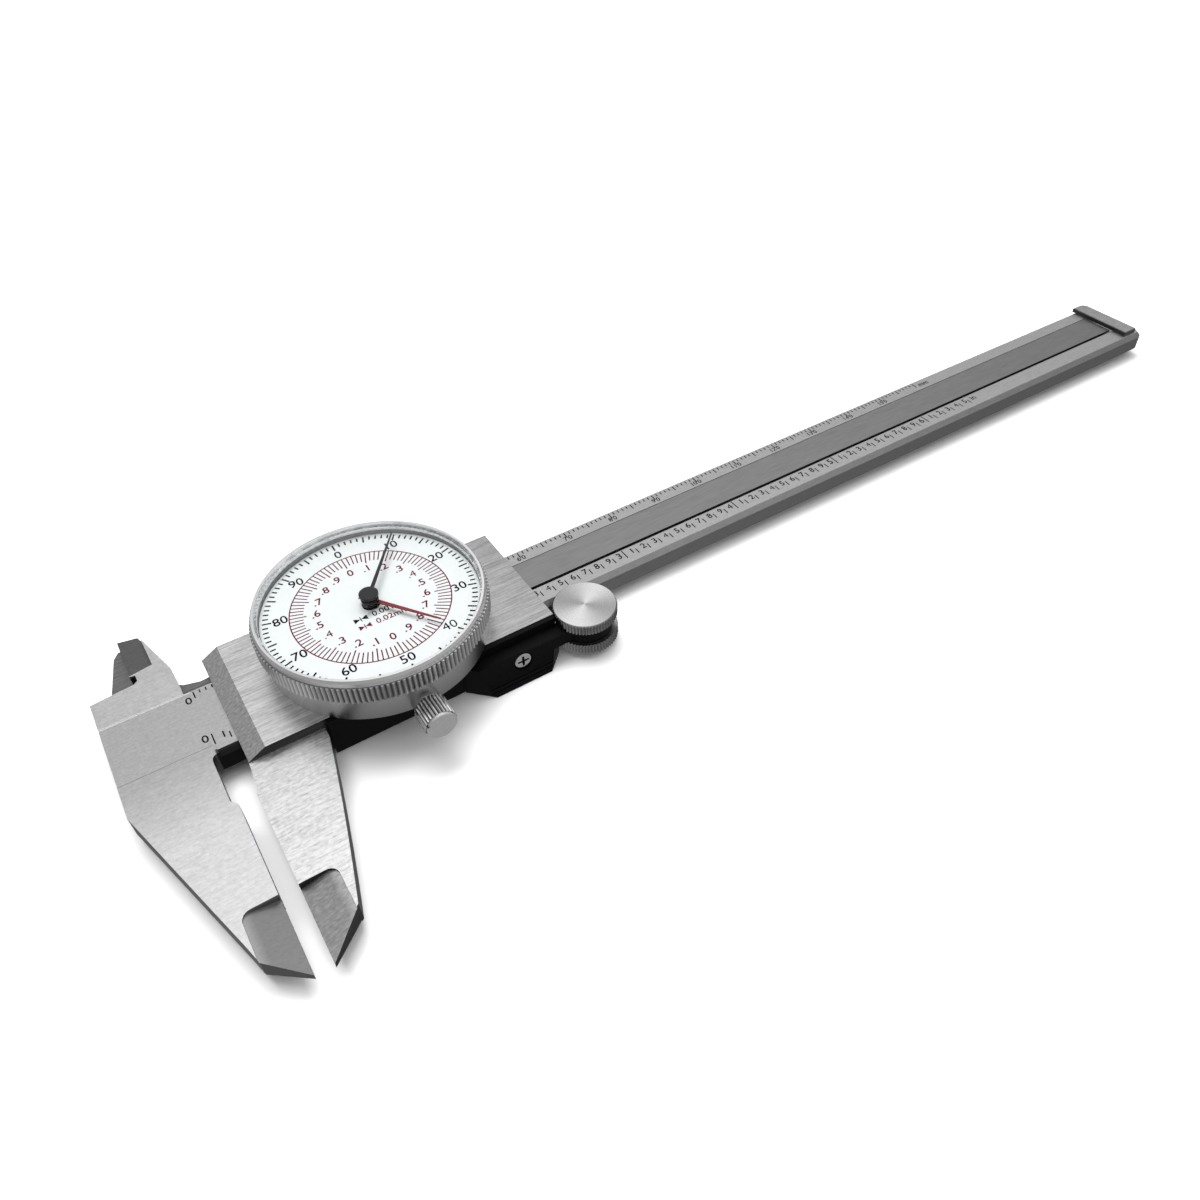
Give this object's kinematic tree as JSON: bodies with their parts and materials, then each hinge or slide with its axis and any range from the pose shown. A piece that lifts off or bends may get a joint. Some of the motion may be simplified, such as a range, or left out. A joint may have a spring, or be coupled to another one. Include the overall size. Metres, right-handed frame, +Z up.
{
  "type": "dial caliper",
  "caption": "Dial caliper for outside, inside and depth measuring, with a two-hand inch and metric dial, knurled bezel and thumb roller on a flat steel beam.",
  "frame": {"origin": "bottom centre of the whole caliper's box, on the surface that its back plate rests on", "axes": "+X along the beam from the jaws to the free end, +Y across the beam towards the inside jaws, +Z up out of the dial"},
  "size_m": [0.2382, 0.0748, 0.0187],
  "materials": {
    "beam_steel": "satin ground stainless steel with hollow-ground jaws and etched scales",
    "slider_steel": "coarsely brushed stainless steel",
    "rack_steel": "fine ground steel strip, darker than the beam",
    "stop_steel": "ground steel",
    "rod_steel": "drawn steel",
    "screw_steel": "bright plated screws",
    "bronze": "phosphor bronze gib",
    "black_plate": "black satin plate",
    "black_bracket": "black satin moulding",
    "housing_silver": "satin chromed housing",
    "bezel_silver": "knurled satin bezel with a bright rim",
    "knob_silver": "knurled bright knobs with turned ends",
    "movement_brass": "gilt brass movement",
    "arbor_steel": "polished steel arbors and spring",
    "face_white": "white enamelled dial with black and red scales",
    "hand_black": "black pointer",
    "hand_red": "red pointer",
    "crystal_clear": "clear acrylic crystal"
  },
  "bodies": {
    "beam": {"beam": "beam_steel", "rack": "rack_steel", "rack_screws": "screw_steel", "end_stop": "stop_steel", "end_stop_screws": "screw_steel"},
    "slider": {"slider_body": "slider_steel", "gib_strip": "bronze", "gib_screws": "screw_steel", "back_plate": "black_plate", "back_plate_screws": "screw_steel", "depth_rod": "rod_steel", "depth_rod_screw": "screw_steel", "thumb_bracket": "black_bracket", "bracket_screw": "screw_steel", "dial_housing": "housing_silver", "housing_screws": "screw_steel", "movement_pillars": "movement_brass", "movement_bridge": "movement_brass", "bridge_screws": "screw_steel", "hair_spring": "arbor_steel"},
    "side_gears": {"rack_pinion_arbor": "arbor_steel", "inch_wheel": "movement_brass", "metric_wheel": "movement_brass"},
    "inch_hand": {"inch_arbor": "arbor_steel", "inch_pointer": "hand_black"},
    "metric_hand": {"metric_sleeve": "arbor_steel", "metric_pointer": "hand_red"},
    "takeup_gear": {"takeup_arbor": "arbor_steel", "takeup_wheel": "movement_brass"},
    "bezel_ring": {"bezel": "bezel_silver", "crystal": "crystal_clear", "dial_face": "face_white"},
    "clamp_screw": {"bezel_clamp_screw": "knob_silver"},
    "lock_screw": {"slider_lock_screw": "knob_silver"},
    "thumb_roller": {"roller_lower_wheel": "knob_silver", "roller_upper_wheel": "knob_silver"}
  },
  "joints": [
    {"name": "slider_travel", "type": "slide", "parent": "beam", "child": "slider", "axis": [1, 0, 0], "range_m": [-0.0028, 0.1496]},
    {"name": "side_gear_spin", "type": "hinge", "parent": "slider", "child": "side_gears", "pos_m": [-0.08201, 0.00833, 0.0058], "axis": [0, 0, 1], "continuous": true},
    {"name": "inch_hand_turn", "type": "hinge", "parent": "slider", "child": "inch_hand", "pos_m": [-0.0742, 0.01142, 0.01468], "axis": [0, 0, 1], "continuous": true},
    {"name": "metric_hand_turn", "type": "hinge", "parent": "slider", "child": "metric_hand", "pos_m": [-0.0742, 0.01142, 0.01468], "axis": [0, 0, 1], "continuous": true},
    {"name": "takeup_gear_spin", "type": "hinge", "parent": "slider", "child": "takeup_gear", "pos_m": [-0.06639, 0.00833, 0.009], "axis": [0, 0, 1], "continuous": true},
    {"name": "thumb_roller_spin", "type": "hinge", "parent": "slider", "child": "thumb_roller", "pos_m": [-0.0421, -0.0022, 0.0058], "axis": [0, 0, 1], "continuous": true},
    {"name": "bezel_turn", "type": "hinge", "parent": "slider", "child": "bezel_ring", "pos_m": [-0.0742, 0.01142, 0.01468], "axis": [0, 0, 1], "continuous": true},
    {"name": "clamp_screw_turn", "type": "hinge", "parent": "slider", "child": "clamp_screw", "pos_m": [-0.0742, -0.00893, 0.009], "axis": [0, -1, 0], "range_deg": [-360, 0]},
    {"name": "lock_screw_turn", "type": "hinge", "parent": "slider", "child": "lock_screw", "pos_m": [-0.0851, 0.02392, 0.0049], "axis": [0, 1, 0], "range_deg": [-180, 180]}
  ],
  "couplings": [
    {"joint": "side_gear_spin", "follows": "slider_travel", "rad_per_m": 989.48},
    {"joint": "inch_hand_turn", "follows": "slider_travel", "rad_per_m": -2473.7},
    {"joint": "metric_hand_turn", "follows": "slider_travel", "rad_per_m": -3141.6},
    {"joint": "takeup_gear_spin", "follows": "slider_travel", "rad_per_m": 989.48},
    {"joint": "thumb_roller_spin", "follows": "slider_travel", "rad_per_m": 178.57}
  ]
}
